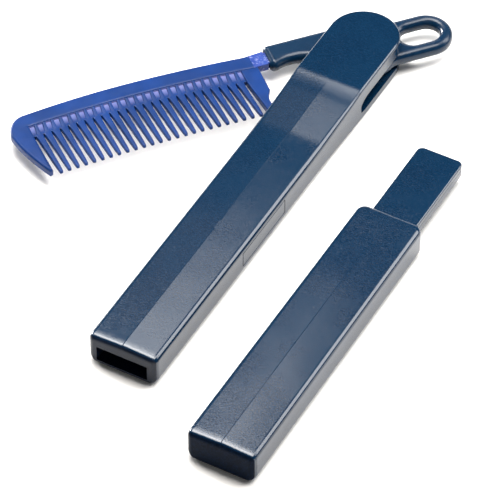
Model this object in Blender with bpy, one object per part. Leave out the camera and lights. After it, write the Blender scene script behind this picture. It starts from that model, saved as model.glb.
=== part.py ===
"""A folding styling comb with its extension handle lying beside it.

A rake comb is gripped by a flat lever. The lever turns on a hidden pin between the two cheeks of a
long case, and its other end is a hanging loop. The case has a slot for the comb along its left side
and a rectangular socket in its square end. The extension handle has a tongue that fits the socket.

The origin is on the underside of the case, under the pin. +Y runs along the case towards its round
nose, and +Z is up. Everything lies on the plane z = 0, with the comb half open.
"""

import math
from typing import NamedTuple

import bmesh
import bpy
from mathutils import Matrix

MM = 0.001
GAP = 0.3 * MM
# How far pieces that are joined reach into each other
OVERLAP = 2.0 * MM
MERGE_DISTANCE = 0.002 * MM
CUT_TOLERANCE = 0.001 * MM

# How many straight pieces draw a curve or divide a long edge
LOW_FILLET_STEPS = 4
TOP_FILLET_STEPS = 3
CORNER_STEPS = 5
NOSE_STEPS = 32
SIDE_STEPS = 24
BLADE_STEPS = 24
ROUND_STEPS = 32
SHARP_ANGLE = math.radians(35.0)

# Case
CASE_WIDTH = 27.0 * MM
CASE_LENGTH_TO_PIN = 177.6 * MM
CASE_END_HEIGHT = 12.75 * MM
CASE_CORNER_RADIUS = 2.3 * MM
TOP_FILLET = 1.9 * MM
LOW_FILLET = 3.2 * MM
NOSE_LOW_FILLET = 1.0 * MM
LOW_FILLET_ENDS_Y = (-60.0 * MM, -20.0 * MM)
SLOW_RISE = 0.05 * MM
# The slope of the top at places along the case: two ramps up to the flat nose
NOSE_SLOPES = (
    (-63.0 * MM, 0.0),
    (-58.0 * MM, 0.02),
    (-55.5 * MM, 0.058),
    (-42.0 * MM, 0.062),
    (-36.5 * MM, 0.068),
    (-34.5 * MM, 0.1),
    (-28.2 * MM, 0.104),
    (-26.8 * MM, 0.0),
)
RAMP_STEP = 2.0 * MM
ROOF_RISE = 0.5 * MM
CASE_ROOF_FADE_Y = (-36.0 * MM, -27.0 * MM)

# Slot for the lever and the comb, and socket for the tongue
SLOT_Z = (3.4 * MM, 9.3 * MM)
SLOT_WALL = 3.0 * MM
SLOT_END_Y = -134.5 * MM
WALL_SLOT_END_Y = -27.0 * MM
WALL_SLOT_STRAIGHT_Z = (4.6 * MM, 6.4 * MM)
WALL_SLOT_CURVE = 6.0 * MM
WALL_SLOT_LOW_CURVE = 2.5 * MM
WALL_SLOT_STEPS = 6
SOCKET_WIDTH = 20.0 * MM
SOCKET_Z = (2.0 * MM, 8.3 * MM)
SOCKET_DEPTH = 39.5 * MM

# Pin
PIN_RADIUS = 3.0 * MM
PIN_Z = (2.1 * MM, 12.3 * MM)

# Lever: its own frame has +X along the comb, +Y towards the teeth and its origin on the pin
LEVER_ANGLE = math.radians(229.7)
LEVER_Z = sum(SLOT_Z) / 2
LEVER_THICKNESS = SLOT_Z[1] - SLOT_Z[0] - 2 * GAP
LEVER_FILLET = 2.2 * MM
BOSS_RADIUS = 13.1 * MM
BOSS_BACK_RADIUS = 14.3 * MM
ARM_END_X = 35.3 * MM
ARM_CORNER_RADII = (2.4 * MM, 2.2 * MM)
NECK = (27.0 * MM, -4.3 * MM)
NECK_FLARE_RADIUS = 12.0 * MM
LOOP_HALF_WIDTH = 9.85 * MM
LOOP_REACH = 35.0 * MM
LOOP_BLEND_RADIUS = 6.0 * MM
LOOP_HOLE_RADIUS = 4.75 * MM
LOOP_HOLE_X = (-25.3 * MM, -19.7 * MM)

# Comb, in the lever's frame
BLADE_START_X = 39.8 * MM
SPINE_TOP = (87.7 * MM, -13.6 * MM)
SPINE_RADII = (500.0 * MM, 330.0 * MM)
SPINE_END_X = 123.7 * MM
RIDGE_END_X = 131.7 * MM
BLADE_END_X = 136.2 * MM
BLADE_END_Y = -2.7 * MM
FAR_CORNER_REACH = 8.0 * MM
FAR_CORNER_OFFSETS_Y = (1.0 * MM, 0.5 * MM)
SPINE_THICKNESS = 3.5 * MM
SPINE_FILLET = 0.9 * MM
WEB_THICKNESS = 1.8 * MM
GUARD_THICKNESS = 3.0 * MM
GUARD_FILLET = 0.5 * MM
FAR_GUARD_TIP = (128.8 * MM, 20.0 * MM)
FAR_GUARD_CURVE = 0.0684
FAR_TIP_BACK = 0.8 * MM
FAR_TIP_INSET = (1.2 * MM, 0.6 * MM)
NEAR_GUARD_TIP = ((44.4, 18.0), (43.7, 18.8), (42.6, 18.7), (41.8, 17.6))
NEAR_GUARD_STEP = ((41.8, 12.3), (41.3, 10.3), (39.8, 7.8))
GAP_COUNT = 26
GAP_HALF_WIDTH = 0.65 * MM
FIRST_GAP_X = 47.1 * MM
TOOTH_PITCH = 3.232 * MM
TOOTH_LEAN = -1.6 * MM
RIB_LEAN = 0.2 * MM
RIB_REACH = 1.0 * MM
TANG_Y = (-12.0 * MM, -4.8 * MM)
TANG_THICKNESS = 3.2 * MM
TANG_DROP = 0.2 * MM
POCKET_WIDTH = 6.6 * MM
POCKET_HEIGHT = 3.2 * MM
POCKET_DEPTH = 8.3 * MM

# Extension handle
EXTENSION_X = 51.2 * MM
EXTENSION_Y = (-200.1 * MM, -74.9 * MM)
EXTENSION_WIDTHS = (26.3 * MM, 25.4 * MM)
EXTENSION_HEIGHT = 12.75 * MM
EXTENSION_CORNER_RADII = (2.3 * MM, 3.6 * MM)
EXTENSION_ROOF_FADE_Y = (-120.0 * MM, -85.0 * MM)
EXTENSION_ROOF_CUTS = 6
TONGUE_WIDTH = 18.05 * MM
TONGUE_Z = (3.75 * MM, 9.25 * MM)
TONGUE_END_Y = -36.4 * MM
TONGUE_CORNER_RADIUS = 2.4 * MM
TONGUE_FILLET = 0.6 * MM

NAVY = (0.018, 0.05, 0.11, 1.0)
BLUE = (0.03, 0.09, 0.42, 1.0)
STEEL = (0.45, 0.46, 0.48, 1.0)


class RimPoint(NamedTuple):
    """A point of a handle's plan outline, with its outward normal."""

    x: float
    y: float
    nx: float
    ny: float


class Bow(NamedTuple):
    """A shallow curve across the comb: its vertex and how wide it opens."""

    x: float
    y: float
    opening: float

    def at(self, x):
        return self.y + (x - self.x) ** 2 / self.opening


RIDGE = Bow(84.7 * MM, -6.4 * MM, 960.0 * MM)
ROOTS = Bow(87.7 * MM, -1.75 * MM, 682.0 * MM)
TIPS = Bow(65.7 * MM, 18.4 * MM, 1514.0 * MM)


class ToothSection(NamedTuple):
    """A section across a tooth: its share of the way from root to tip, its width and thickness."""

    share: float
    width: float
    thickness: float


RIB_SIZE = (1.3 * MM, 3.0 * MM)
TOOTH_SECTIONS = (
    ToothSection(0.0, 1.98 * MM, 2.05 * MM),
    ToothSection(0.5, 1.92 * MM, 1.98 * MM),
    ToothSection(0.965, 1.3 * MM, 1.45 * MM),
    ToothSection(1.0, 0.5 * MM, 0.6 * MM),
)


def clear_scene():
    for item in list(bpy.data.objects):
        bpy.data.objects.remove(item, do_unlink=True)


def new_collection(name):
    collection = bpy.data.collections.new(name)
    bpy.context.scene.collection.children.link(collection)
    return collection


def plastic(name, colour, roughness, metallic=0.0):
    """A plain Principled material."""
    material = bpy.data.materials.new(name)
    material.use_nodes = True
    shader = material.node_tree.nodes["Principled BSDF"]
    shader.inputs["Base Color"].default_value = colour
    shader.inputs["Roughness"].default_value = roughness
    shader.inputs["Metallic"].default_value = metallic
    material.diffuse_color = colour
    return material


def smooth_step(value, start, end):
    """0 before start, 1 after end, and a smooth rise between."""
    share = min(max((value - start) / (end - start), 0.0), 1.0)
    return share * share * (3.0 - 2.0 * share)


def arc(centre, radius, start, end, steps):
    """Points along an arc, with its angles in degrees."""
    points = []
    for index in range(steps + 1):
        angle = math.radians(start + (end - start) * index / steps)
        points.append((centre[0] + radius * math.cos(angle), centre[1] + radius * math.sin(angle)))
    return points


def direction(centre, point):
    """The angle in degrees at which a point is seen from a centre."""
    return math.degrees(math.atan2(point[1] - centre[1], point[0] - centre[0]))


def link_mesh(name, bm, collection):
    """Closes off a bmesh as an object of the collection, with its faces pointing out."""
    bmesh.ops.recalc_face_normals(bm, faces=bm.faces[:])
    mesh = bpy.data.meshes.new(name)
    bm.to_mesh(mesh)
    bm.free()
    item = bpy.data.objects.new(name, mesh)
    collection.objects.link(item)
    return item


def loft(bm, rings):
    """Joins rings that have the same number of points, and caps the first and the last."""
    rows = [[bm.verts.new(point) for point in ring] for ring in rings]
    for lower, upper in zip(rows, rows[1:]):
        for index in range(len(lower)):
            following = (index + 1) % len(lower)
            bm.faces.new((lower[index], lower[following], upper[following], upper[index]))
    bm.faces.new(list(reversed(rows[0])))
    bm.faces.new(rows[-1])


def plate(name, outlines, z_range, fillet, collection):
    """A flat piece from closed outlines, the later ones holes, with its edges rounded."""
    data = bpy.data.curves.new(name, "CURVE")
    data.dimensions = "2D"
    data.fill_mode = "BOTH"
    data.extrude = (z_range[1] - z_range[0]) / 2 - fillet
    data.bevel_depth = fillet
    data.bevel_resolution = 1
    data.offset = -fillet
    for outline in outlines:
        spline = data.splines.new("POLY")
        spline.points.add(len(outline) - 1)
        for point, (x, y) in zip(spline.points, outline):
            point.co = (x, y, 0.0, 1.0)
        spline.use_cyclic_u = True
    curve = bpy.data.objects.new(name + "_curve", data)
    collection.objects.link(curve)
    curve.location.z = sum(z_range) / 2
    graph = bpy.context.evaluated_depsgraph_get()
    mesh = bpy.data.meshes.new_from_object(curve.evaluated_get(graph))
    mesh.name = name
    bm = bmesh.new()
    bm.from_mesh(mesh)
    bmesh.ops.remove_doubles(bm, verts=bm.verts[:], dist=MERGE_DISTANCE)
    bmesh.ops.recalc_face_normals(bm, faces=bm.faces[:])
    bm.to_mesh(mesh)
    bm.free()
    item = bpy.data.objects.new(name, mesh)
    item.matrix_world = curve.matrix_world
    collection.objects.link(item)
    bpy.data.objects.remove(curve)
    return item


def box(name, low, high, collection):
    """A block between two opposite corners."""
    bm = bmesh.new()
    bmesh.ops.create_cube(bm, size=1.0)
    size = [high[axis] - low[axis] for axis in range(3)]
    middle = [(high[axis] + low[axis]) / 2 for axis in range(3)]
    bmesh.ops.scale(bm, vec=size, verts=bm.verts[:])
    bmesh.ops.translate(bm, vec=middle, verts=bm.verts[:])
    return link_mesh(name, bm, collection)


def cylinder(name, radius, z_range, collection):
    """A cylinder about the pin's axis."""
    bm = bmesh.new()
    height = z_range[1] - z_range[0]
    bmesh.ops.create_cone(
        bm, cap_ends=True, segments=ROUND_STEPS, radius1=radius, radius2=radius, depth=height
    )
    bmesh.ops.translate(bm, vec=(0.0, 0.0, sum(z_range) / 2), verts=bm.verts[:])
    return link_mesh(name, bm, collection)


def boolean(target, tool, operation):
    """Adds a Boolean modifier that cuts the tool from the target or joins it on."""
    modifier = target.modifiers.new(tool.name, "BOOLEAN")
    modifier.operation = operation
    modifier.solver = "EXACT"
    modifier.object = tool
    tool.hide_render = True
    tool.display_type = "WIRE"


def finish(item, material):
    item.data.materials.clear()
    item.data.materials.append(material)
    item.data.shade_smooth()
    item.data.set_sharp_from_angle(angle=SHARP_ANGLE)


def rim_line(start, end, normal, steps):
    """Rim points from start up to, and without, end."""
    points = []
    for index in range(steps):
        share = index / steps
        x = start[0] + (end[0] - start[0]) * share
        y = start[1] + (end[1] - start[1]) * share
        points.append(RimPoint(x, y, *normal))
    return points


def rim_arc(centre, radius, start, end, steps):
    """Rim points along a convex arc, with both its ends."""
    points = []
    for index in range(steps + 1):
        angle = math.radians(start + (end - start) * index / steps)
        nx, ny = math.cos(angle), math.sin(angle)
        points.append(RimPoint(centre[0] + radius * nx, centre[1] + radius * ny, nx, ny))
    return points


def handle_block(name, rim, half_width, height, low_fillet, lift, cuts_y, collection):
    """A handle's block: rounded edges above, rounded long edges below, and a top raised by a rule.

    half_width and low_fillet are functions of y, and lift is a function of x and y.
    """
    rings = []
    for index in range(LOW_FILLET_STEPS + 1):
        angle = math.radians(90.0 * index / LOW_FILLET_STEPS)
        ring = []
        for point in rim:
            radius = low_fillet(point.y)
            limit = half_width(point.y) - radius * (1.0 - math.sin(angle))
            x = min(max(point.x, -limit), limit)
            ring.append((x, point.y, radius * (1.0 - math.cos(angle))))
        rings.append(ring)
    for index in range(TOP_FILLET_STEPS + 1):
        angle = math.radians(90.0 * index / TOP_FILLET_STEPS)
        inset = TOP_FILLET * (1.0 - math.cos(angle))
        z = height - TOP_FILLET * (1.0 - math.sin(angle))
        rings.append([(p.x - p.nx * inset, p.y - p.ny * inset, z) for p in rim])
    bm = bmesh.new()
    loft(bm, rings)
    planes = [((0.0, 0.0, 0.0), (1.0, 0.0, 0.0))]
    planes += [((0.0, y, 0.0), (0.0, 1.0, 0.0)) for y in cuts_y]
    for place, normal in planes:
        parts = bm.verts[:] + bm.edges[:] + bm.faces[:]
        bmesh.ops.bisect_plane(bm, geom=parts, plane_co=place, plane_no=normal, dist=CUT_TOLERANCE)
    bmesh.ops.remove_doubles(bm, verts=bm.verts[:], dist=MERGE_DISTANCE)
    for vert in bm.verts:
        if vert.co.z > height / 2:
            vert.co.z += lift(vert.co.x, vert.co.y)
    bmesh.ops.triangulate(bm, faces=bm.faces[:])
    return link_mesh(name, bm, collection)


def nose_rise(y):
    """How far the ramps have lifted the top at a place along the case."""
    total = 0.0
    for (start, slope), (end, next_slope) in zip(NOSE_SLOPES, NOSE_SLOPES[1:]):
        share = min(max((y - start) / (end - start), 0.0), 1.0)
        total += share * (end - start) * (slope + (next_slope - slope) * share / 2)
    return total


def ramp_cuts():
    """The places along the case at which its ramps are divided."""
    cuts = []
    for (start, _), (end, _) in zip(NOSE_SLOPES, NOSE_SLOPES[1:]):
        steps = math.ceil((end - start) / RAMP_STEP)
        cuts += [start + (end - start) * index / steps for index in range(steps)]
    return cuts + [NOSE_SLOPES[-1][0]]


def case_block(collection):
    """The case without its slot and socket."""
    half = CASE_WIDTH / 2
    end = -CASE_LENGTH_TO_PIN
    corner = CASE_CORNER_RADIUS
    rim = rim_line((half, end + corner), (half, 0.0), (1.0, 0.0), SIDE_STEPS)
    rim += rim_arc((0.0, 0.0), half, 0.0, 180.0, NOSE_STEPS)
    rim += rim_line((-half, 0.0), (-half, end + corner), (-1.0, 0.0), SIDE_STEPS)[1:]
    rim += rim_arc((-half + corner, end + corner), corner, 180.0, 270.0, CORNER_STEPS)
    rim += rim_arc((half - corner, end + corner), corner, 270.0, 360.0, CORNER_STEPS)[:-1]

    def low_fillet(y):
        share = smooth_step(y, *LOW_FILLET_ENDS_Y)
        return LOW_FILLET + (NOSE_LOW_FILLET - LOW_FILLET) * share

    def lift(x, y):
        slow = SLOW_RISE * smooth_step(y, end, NOSE_SLOPES[0][0])
        roof = ROOF_RISE * (1.0 - smooth_step(y, *CASE_ROOF_FADE_Y)) * (1.0 - abs(x) / half)
        return slow + nose_rise(y) + roof

    return handle_block(
        "case", rim, lambda y: half, CASE_END_HEIGHT, low_fillet, lift, ramp_cuts(), collection
    )


def wall_slot_cutter(collection):
    """The short opening in the right wall near the nose, with a rounded upper end."""
    half = CASE_WIDTH / 2
    low, high = SLOT_Z
    straight_low, straight_high = WALL_SLOT_STRAIGHT_Z
    profile = [(half, high), (half, low), (WALL_SLOT_END_Y + WALL_SLOT_LOW_CURVE, low)]
    profile.append((WALL_SLOT_END_Y, straight_low))
    for index in range(WALL_SLOT_STEPS + 1):
        angle = math.radians(90.0 * index / WALL_SLOT_STEPS)
        y = WALL_SLOT_END_Y + WALL_SLOT_CURVE * (1.0 - math.cos(angle))
        z = straight_high + (high - straight_high) * math.sin(angle)
        profile.append((y, z))
    bm = bmesh.new()
    loft(bm, [[(x, y, z) for y, z in profile] for x in (half - SLOT_WALL - GAP, 2.0 * half)])
    return link_mesh("wall_slot_cutter", bm, collection)


def build_case(parts, helpers):
    """The case, with the slot between its cheeks, the socket in its end and the pin's holes."""
    case = case_block(parts)
    half = CASE_WIDTH / 2
    beyond = 2.0 * half
    slot = box(
        "slot_cutter",
        (-beyond, SLOT_END_Y, SLOT_Z[0]),
        (half - SLOT_WALL, beyond, SLOT_Z[1]),
        helpers,
    )
    boolean(case, slot, "DIFFERENCE")
    boolean(case, wall_slot_cutter(helpers), "DIFFERENCE")
    end = -CASE_LENGTH_TO_PIN
    socket = box(
        "socket_cutter",
        (-SOCKET_WIDTH / 2, end - half, SOCKET_Z[0]),
        (SOCKET_WIDTH / 2, end + SOCKET_DEPTH, SOCKET_Z[1]),
        helpers,
    )
    boolean(case, socket, "DIFFERENCE")
    hole_z = (PIN_Z[0] - GAP, PIN_Z[1] + GAP)
    hole = cylinder("pin_hole_cutter", PIN_RADIUS + GAP, hole_z, helpers)
    boolean(case, hole, "DIFFERENCE")
    return case


def build_pin(parts):
    return cylinder("pivot_pin", PIN_RADIUS, PIN_Z, parts)


def arm_outline():
    """The lever's outline, counter-clockwise from the back of the arm's end round to the boss."""
    neck_x, neck_y = NECK
    reach = neck_x**2 + neck_y**2 - BOSS_RADIUS**2
    neck_radius = reach / (2.0 * (BOSS_RADIUS - neck_y))
    neck_centre = (neck_x, neck_y + neck_radius)
    flare_centre = (neck_x, neck_y + NECK_FLARE_RADIUS)
    end_centre = (-(LOOP_REACH - LOOP_HALF_WIDTH), 0.0)
    back_radius, low_radius = ARM_CORNER_RADII
    back_corner = (ARM_END_X - back_radius, -BOSS_BACK_RADIUS + back_radius)
    low_x = ARM_END_X - low_radius
    low_drop = math.sqrt((NECK_FLARE_RADIUS + low_radius) ** 2 - (low_x - neck_x) ** 2)
    low_centre = (low_x, flare_centre[1] - low_drop)
    flare_end = direction(flare_centre, low_centre)

    def blend(boss_radius):
        """Centre of the round inner corner between the loop's side and the boss."""
        y = LOOP_HALF_WIDTH + LOOP_BLEND_RADIUS
        return (-math.sqrt((boss_radius + LOOP_BLEND_RADIUS) ** 2 - y**2), y)

    front, back = blend(BOSS_RADIUS), blend(BOSS_BACK_RADIUS)
    boss_low = direction((0.0, 0.0), neck_centre)
    front_angle = direction((0.0, 0.0), front)
    back_angle = direction((0.0, 0.0), back)
    points = arc(back_corner, back_radius, -90.0, 0.0, 5)
    points += arc(low_centre, low_radius, 0.0, flare_end + 180.0, 5)
    points += arc(flare_centre, NECK_FLARE_RADIUS, flare_end, -90.0, 4)[1:]
    points += arc(neck_centre, neck_radius, -90.0, boss_low - 180.0, 10)[1:]
    points += arc((0.0, 0.0), BOSS_RADIUS, boss_low, front_angle, 12)[1:]
    points += arc(front, LOOP_BLEND_RADIUS, front_angle - 180.0, -90.0, 5)[1:]
    points += arc(end_centre, LOOP_HALF_WIDTH, 90.0, 270.0, 24)
    points += arc((back[0], -back[1]), LOOP_BLEND_RADIUS, 90.0, 180.0 - back_angle, 5)
    points += arc((0.0, 0.0), BOSS_BACK_RADIUS, 360.0 - back_angle, 270.0, 6)[1:]
    return points


def build_comb_arm(parts, helpers):
    """The lever: boss, arm with a pocket in its end, and hanging loop."""
    half = LEVER_THICKNESS / 2
    hole = arc((LOOP_HOLE_X[1], 0.0), LOOP_HOLE_RADIUS, -90.0, 90.0, 14)
    hole += arc((LOOP_HOLE_X[0], 0.0), LOOP_HOLE_RADIUS, 90.0, 270.0, 14)
    arm = plate("comb_arm", [arm_outline(), hole], (-half, half), LEVER_FILLET, parts)
    bore = cylinder("arm_bore_cutter", PIN_RADIUS + GAP, (-2 * half, 2 * half), helpers)
    boolean(arm, bore, "DIFFERENCE")
    middle = sum(TANG_Y) / 2
    pocket = box(
        "arm_pocket_cutter",
        (ARM_END_X - POCKET_DEPTH, middle - POCKET_WIDTH / 2, -POCKET_HEIGHT / 2),
        (ARM_END_X + half, middle + POCKET_WIDTH / 2, POCKET_HEIGHT / 2),
        helpers,
    )
    boolean(arm, pocket, "DIFFERENCE")
    return [arm, bore, pocket]


def spine_y(x):
    radius = SPINE_RADII[0] if x < SPINE_TOP[0] else SPINE_RADII[1]
    return SPINE_TOP[1] + (x - SPINE_TOP[0]) ** 2 / (2.0 * radius)


def along(rule, start, end):
    """Points on the curve y = rule(x)."""
    points = []
    for index in range(BLADE_STEPS + 1):
        x = start + (end - start) * index / BLADE_STEPS
        points.append((x, rule(x)))
    return points


def far_corner():
    """The round corner between the spine and the far guard tooth."""
    low, sink = FAR_CORNER_OFFSETS_Y
    centre_x, centre_y = BLADE_END_X - FAR_CORNER_REACH, BLADE_END_Y + low
    rise = centre_y - spine_y(SPINE_END_X) - sink
    points = []
    for index in range(1, NOSE_STEPS // 4 + 1):
        angle = math.radians(-90.0 + 360.0 * index / NOSE_STEPS)
        x = centre_x + FAR_CORNER_REACH * math.cos(angle)
        points.append((x, centre_y + rise * math.sin(angle)))
    return points


def far_guard_edge(y):
    """Where the far guard tooth's outer edge is at a height y."""
    fall = max(y - BLADE_END_Y, 0.0) / MM
    return BLADE_END_X - FAR_GUARD_CURVE * MM * fall**1.5


def spine_outline():
    """The thick band along the comb's back."""
    points = along(spine_y, BLADE_START_X, SPINE_END_X)
    points += far_corner()
    points += along(RIDGE.at, RIDGE_END_X, BLADE_START_X)
    return points


def far_guard_outline():
    """The guard tooth at the comb's far end."""
    inner = FIRST_GAP_X + TOOTH_PITCH * (GAP_COUNT - 1) + GAP_HALF_WIDTH
    tip_x, tip_y = FAR_GUARD_TIP
    points = [(inner, RIDGE.at(inner) - OVERLAP)]
    points += [(BLADE_END_X - OVERLAP, BLADE_END_Y - OVERLAP)]
    for index in range(9):
        y = BLADE_END_Y + (tip_y - FAR_TIP_BACK - BLADE_END_Y) * index / 8
        points.append((far_guard_edge(y), y))
    points += [FAR_GUARD_TIP, (tip_x - FAR_TIP_INSET[0], tip_y - FAR_TIP_INSET[1])]
    points += [(inner, ROOTS.at(inner))]
    return points


def near_guard_outline():
    """The end plate and guard tooth next to the arm."""
    inner = FIRST_GAP_X - GAP_HALF_WIDTH
    points = [(inner, RIDGE.at(inner) - OVERLAP), (inner, ROOTS.at(inner))]
    points += [(x * MM, y * MM) for x, y in NEAR_GUARD_TIP + NEAR_GUARD_STEP]
    points += [(BLADE_START_X, RIDGE.at(BLADE_START_X) - OVERLAP)]
    return points


def web_outline():
    """The thin web that joins the teeth, from inside the spine to the roots of the gaps."""
    first, last = BLADE_START_X + OVERLAP, BLADE_END_X - OVERLAP
    points = along(lambda x: RIDGE.at(x) - OVERLAP, first, last)
    points += along(ROOTS.at, last, first)
    return points


def tang_neck_outline():
    """The bare stretch of the tang, between the arm's end and the blade."""
    start, end = ARM_END_X + GAP, BLADE_START_X + OVERLAP
    back, low = TANG_Y
    return [(start, back), (end, spine_y(end) + TANG_DROP), (end, low), (start, low)]


def tooth_rings(index):
    """The sections of one tooth and of the rib behind it, each as four corners."""
    root_x = FIRST_GAP_X + TOOTH_PITCH * (index + 0.5)
    rib_x, tip_x = root_x - RIB_LEAN, root_x + TOOTH_LEAN
    root_y, tip_y = ROOTS.at(root_x), TIPS.at(tip_x)
    sections = [(rib_x, RIDGE.at(rib_x) - RIB_REACH, *RIB_SIZE)]
    for share, width, thickness in TOOTH_SECTIONS:
        x = root_x + (tip_x - root_x) * share
        sections.append((x, root_y + (tip_y - root_y) * share, width, thickness))
    rings = []
    for x, y, width, thickness in sections:
        corners = ((-1, -1), (1, -1), (1, 1), (-1, 1))
        rings.append([(x + width / 2 * i, y, thickness / 2 * j) for i, j in corners])
    return rings


def teeth_mesh(collection):
    """All the teeth, each a loft through its sections."""
    bm = bmesh.new()
    for index in range(GAP_COUNT - 1):
        loft(bm, tooth_rings(index))
    return link_mesh("teeth_tool", bm, collection)


def build_comb(parts, helpers):
    """The comb: thick back, thin web, tapered teeth, a guard tooth at each end, and the tang."""
    half = SPINE_THICKNESS / 2
    guard = (-GUARD_THICKNESS / 2, GUARD_THICKNESS / 2)
    web = (-WEB_THICKNESS / 2, WEB_THICKNESS / 2)
    comb = plate("comb", [spine_outline()], (-half, half), SPINE_FILLET, parts)
    far = plate("far_guard_tool", [far_guard_outline()], guard, GUARD_FILLET, helpers)
    near = plate("near_guard_tool", [near_guard_outline()], guard, GUARD_FILLET, helpers)
    thin = plate("web_tool", [web_outline()], web, 0.0, helpers)
    teeth = teeth_mesh(helpers)
    tang = (-TANG_THICKNESS / 2, TANG_THICKNESS / 2)
    neck = plate("tang_neck_tool", [tang_neck_outline()], tang, 0.0, helpers)
    middle = sum(TANG_Y) / 2
    tongue_half_y = POCKET_WIDTH / 2 - GAP
    tongue_half_z = POCKET_HEIGHT / 2 - GAP
    tongue = box(
        "tang_tool",
        (ARM_END_X - POCKET_DEPTH + GAP, middle - tongue_half_y, -tongue_half_z),
        (BLADE_START_X, middle + tongue_half_y, tongue_half_z),
        helpers,
    )
    tools = [thin, near, far, teeth, neck, tongue]
    for tool in tools:
        boolean(comb, tool, "UNION")
    return [comb] + tools


def extension_block(collection):
    """The extension handle's body, with its centre line on x = 0."""
    near_y, far_y = EXTENSION_Y
    near_half, far_half = EXTENSION_WIDTHS[0] / 2, EXTENSION_WIDTHS[1] / 2
    near_corner, far_corner_radius = EXTENSION_CORNER_RADII
    taper = (near_half - far_half) / (far_y - near_y)

    def half_width(y):
        return near_half - taper * (y - near_y)

    low_y, high_y = near_y + near_corner, far_y - far_corner_radius
    rim = rim_line((half_width(low_y), low_y), (half_width(high_y), high_y), (1.0, 0.0), SIDE_STEPS)
    corner_x = half_width(high_y) - far_corner_radius
    rim += rim_arc((corner_x, high_y), far_corner_radius, 0.0, 90.0, CORNER_STEPS)
    rim += rim_arc((-corner_x, high_y), far_corner_radius, 90.0, 180.0, CORNER_STEPS)
    far_left, near_left = (-half_width(high_y), high_y), (-half_width(low_y), low_y)
    rim += rim_line(far_left, near_left, (-1.0, 0.0), SIDE_STEPS)[1:]
    corner_x = half_width(low_y) - near_corner
    rim += rim_arc((-corner_x, low_y), near_corner, 180.0, 270.0, CORNER_STEPS)
    rim += rim_arc((corner_x, low_y), near_corner, 270.0, 360.0, CORNER_STEPS)[:-1]

    def lift(x, y):
        roof = 1.0 - smooth_step(y, *EXTENSION_ROOF_FADE_Y)
        return ROOF_RISE * roof * (1.0 - abs(x) / half_width(y))

    first, last = EXTENSION_ROOF_FADE_Y
    count = EXTENSION_ROOF_CUTS
    cuts = [first + (last - first) * index / count for index in range(count + 1)]
    return handle_block(
        "extension_handle",
        rim,
        half_width,
        EXTENSION_HEIGHT,
        lambda y: LOW_FILLET,
        lift,
        cuts,
        collection,
    )


def build_extension_handle(parts, helpers):
    """The extension handle: its body and the tongue that fits the case's socket."""
    body = extension_block(parts)
    half = TONGUE_WIDTH / 2
    corner = TONGUE_CORNER_RADIUS
    root = EXTENSION_Y[1] - 2.0 * OVERLAP
    outline = [(-half, root), (half, root)]
    outline += arc((half - corner, TONGUE_END_Y - corner), corner, 0.0, 90.0, CORNER_STEPS)
    outline += arc((-half + corner, TONGUE_END_Y - corner), corner, 90.0, 180.0, CORNER_STEPS)
    tongue = plate("tongue_tool", [outline], TONGUE_Z, TONGUE_FILLET, helpers)
    boolean(body, tongue, "UNION")
    return [body, tongue]


def main():
    clear_scene()
    parts = new_collection("folding_styling_comb")
    helpers = new_collection("cutters")
    navy = plastic("navy_abs", NAVY, 0.4)
    blue = plastic("blue_comb_plastic", BLUE, 0.35)
    steel = plastic("pin_steel", STEEL, 0.3, 1.0)

    case = build_case(parts, helpers)
    finish(case, navy)
    finish(build_pin(parts), steel)

    pivot = bpy.data.objects.new("lever_pivot", None)
    parts.objects.link(pivot)
    pivot.matrix_world = Matrix.Translation((0.0, 0.0, LEVER_Z)) @ Matrix.Rotation(
        LEVER_ANGLE, 4, "Z"
    )
    arm_pieces = build_comb_arm(parts, helpers)
    comb_pieces = build_comb(parts, helpers)
    for item in arm_pieces + comb_pieces:
        item.parent = pivot
    finish(arm_pieces[0], navy)
    finish(comb_pieces[0], blue)

    extension_pieces = build_extension_handle(parts, helpers)
    for item in extension_pieces:
        item.location.x = EXTENSION_X
    finish(extension_pieces[0], navy)


main()
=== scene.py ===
"""Dresses the folding styling comb: a rake comb on a lever, its long case, and its extension handle.

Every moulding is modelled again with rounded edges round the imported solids, and stands for its node.
All sizes are millimetres times MM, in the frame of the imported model: the origin is on the underside
of the case under the pin, +Y runs towards the case's round nose, and +Z is up.
"""

import logging
import math
from collections.abc import Callable, Iterator, Sequence
from contextlib import contextmanager
from dataclasses import dataclass
from enum import Enum
from typing import ClassVar

import bmesh
import bpy
from mathutils import Matrix, Quaternion, Vector


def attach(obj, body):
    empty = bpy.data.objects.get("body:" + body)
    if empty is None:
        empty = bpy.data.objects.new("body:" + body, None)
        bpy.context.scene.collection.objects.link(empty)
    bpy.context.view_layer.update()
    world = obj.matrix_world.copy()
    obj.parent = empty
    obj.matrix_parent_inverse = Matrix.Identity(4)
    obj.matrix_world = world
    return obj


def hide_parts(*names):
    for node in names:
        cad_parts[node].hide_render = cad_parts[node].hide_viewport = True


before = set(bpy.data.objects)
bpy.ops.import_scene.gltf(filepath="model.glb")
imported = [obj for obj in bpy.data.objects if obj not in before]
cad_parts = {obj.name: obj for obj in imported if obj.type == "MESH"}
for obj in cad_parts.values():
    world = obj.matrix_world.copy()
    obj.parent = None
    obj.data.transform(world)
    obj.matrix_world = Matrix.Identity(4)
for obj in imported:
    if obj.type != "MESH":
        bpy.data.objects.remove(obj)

log = logging.getLogger("styling_comb")

MM = 0.001
NEAR = 0.02 * MM
GAP = 0.3 * MM
PHOTO_PIXELS = 490
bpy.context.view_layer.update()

Item = bpy.types.Object
Material = bpy.types.Material
Edge = bmesh.types.BMEdge
Face = bmesh.types.BMFace
Point = tuple[float, float, float]
PlanPoint = tuple[float, float]
Pair = tuple[float, float]
# Two measures and a count of steps.
Run = tuple[float, float, int]
# Tests get a bmesh element, or the place of a point, and say whether it is chosen.
Test = Callable[..., bool]
PlaceTest = Callable[[Vector], bool]


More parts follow.
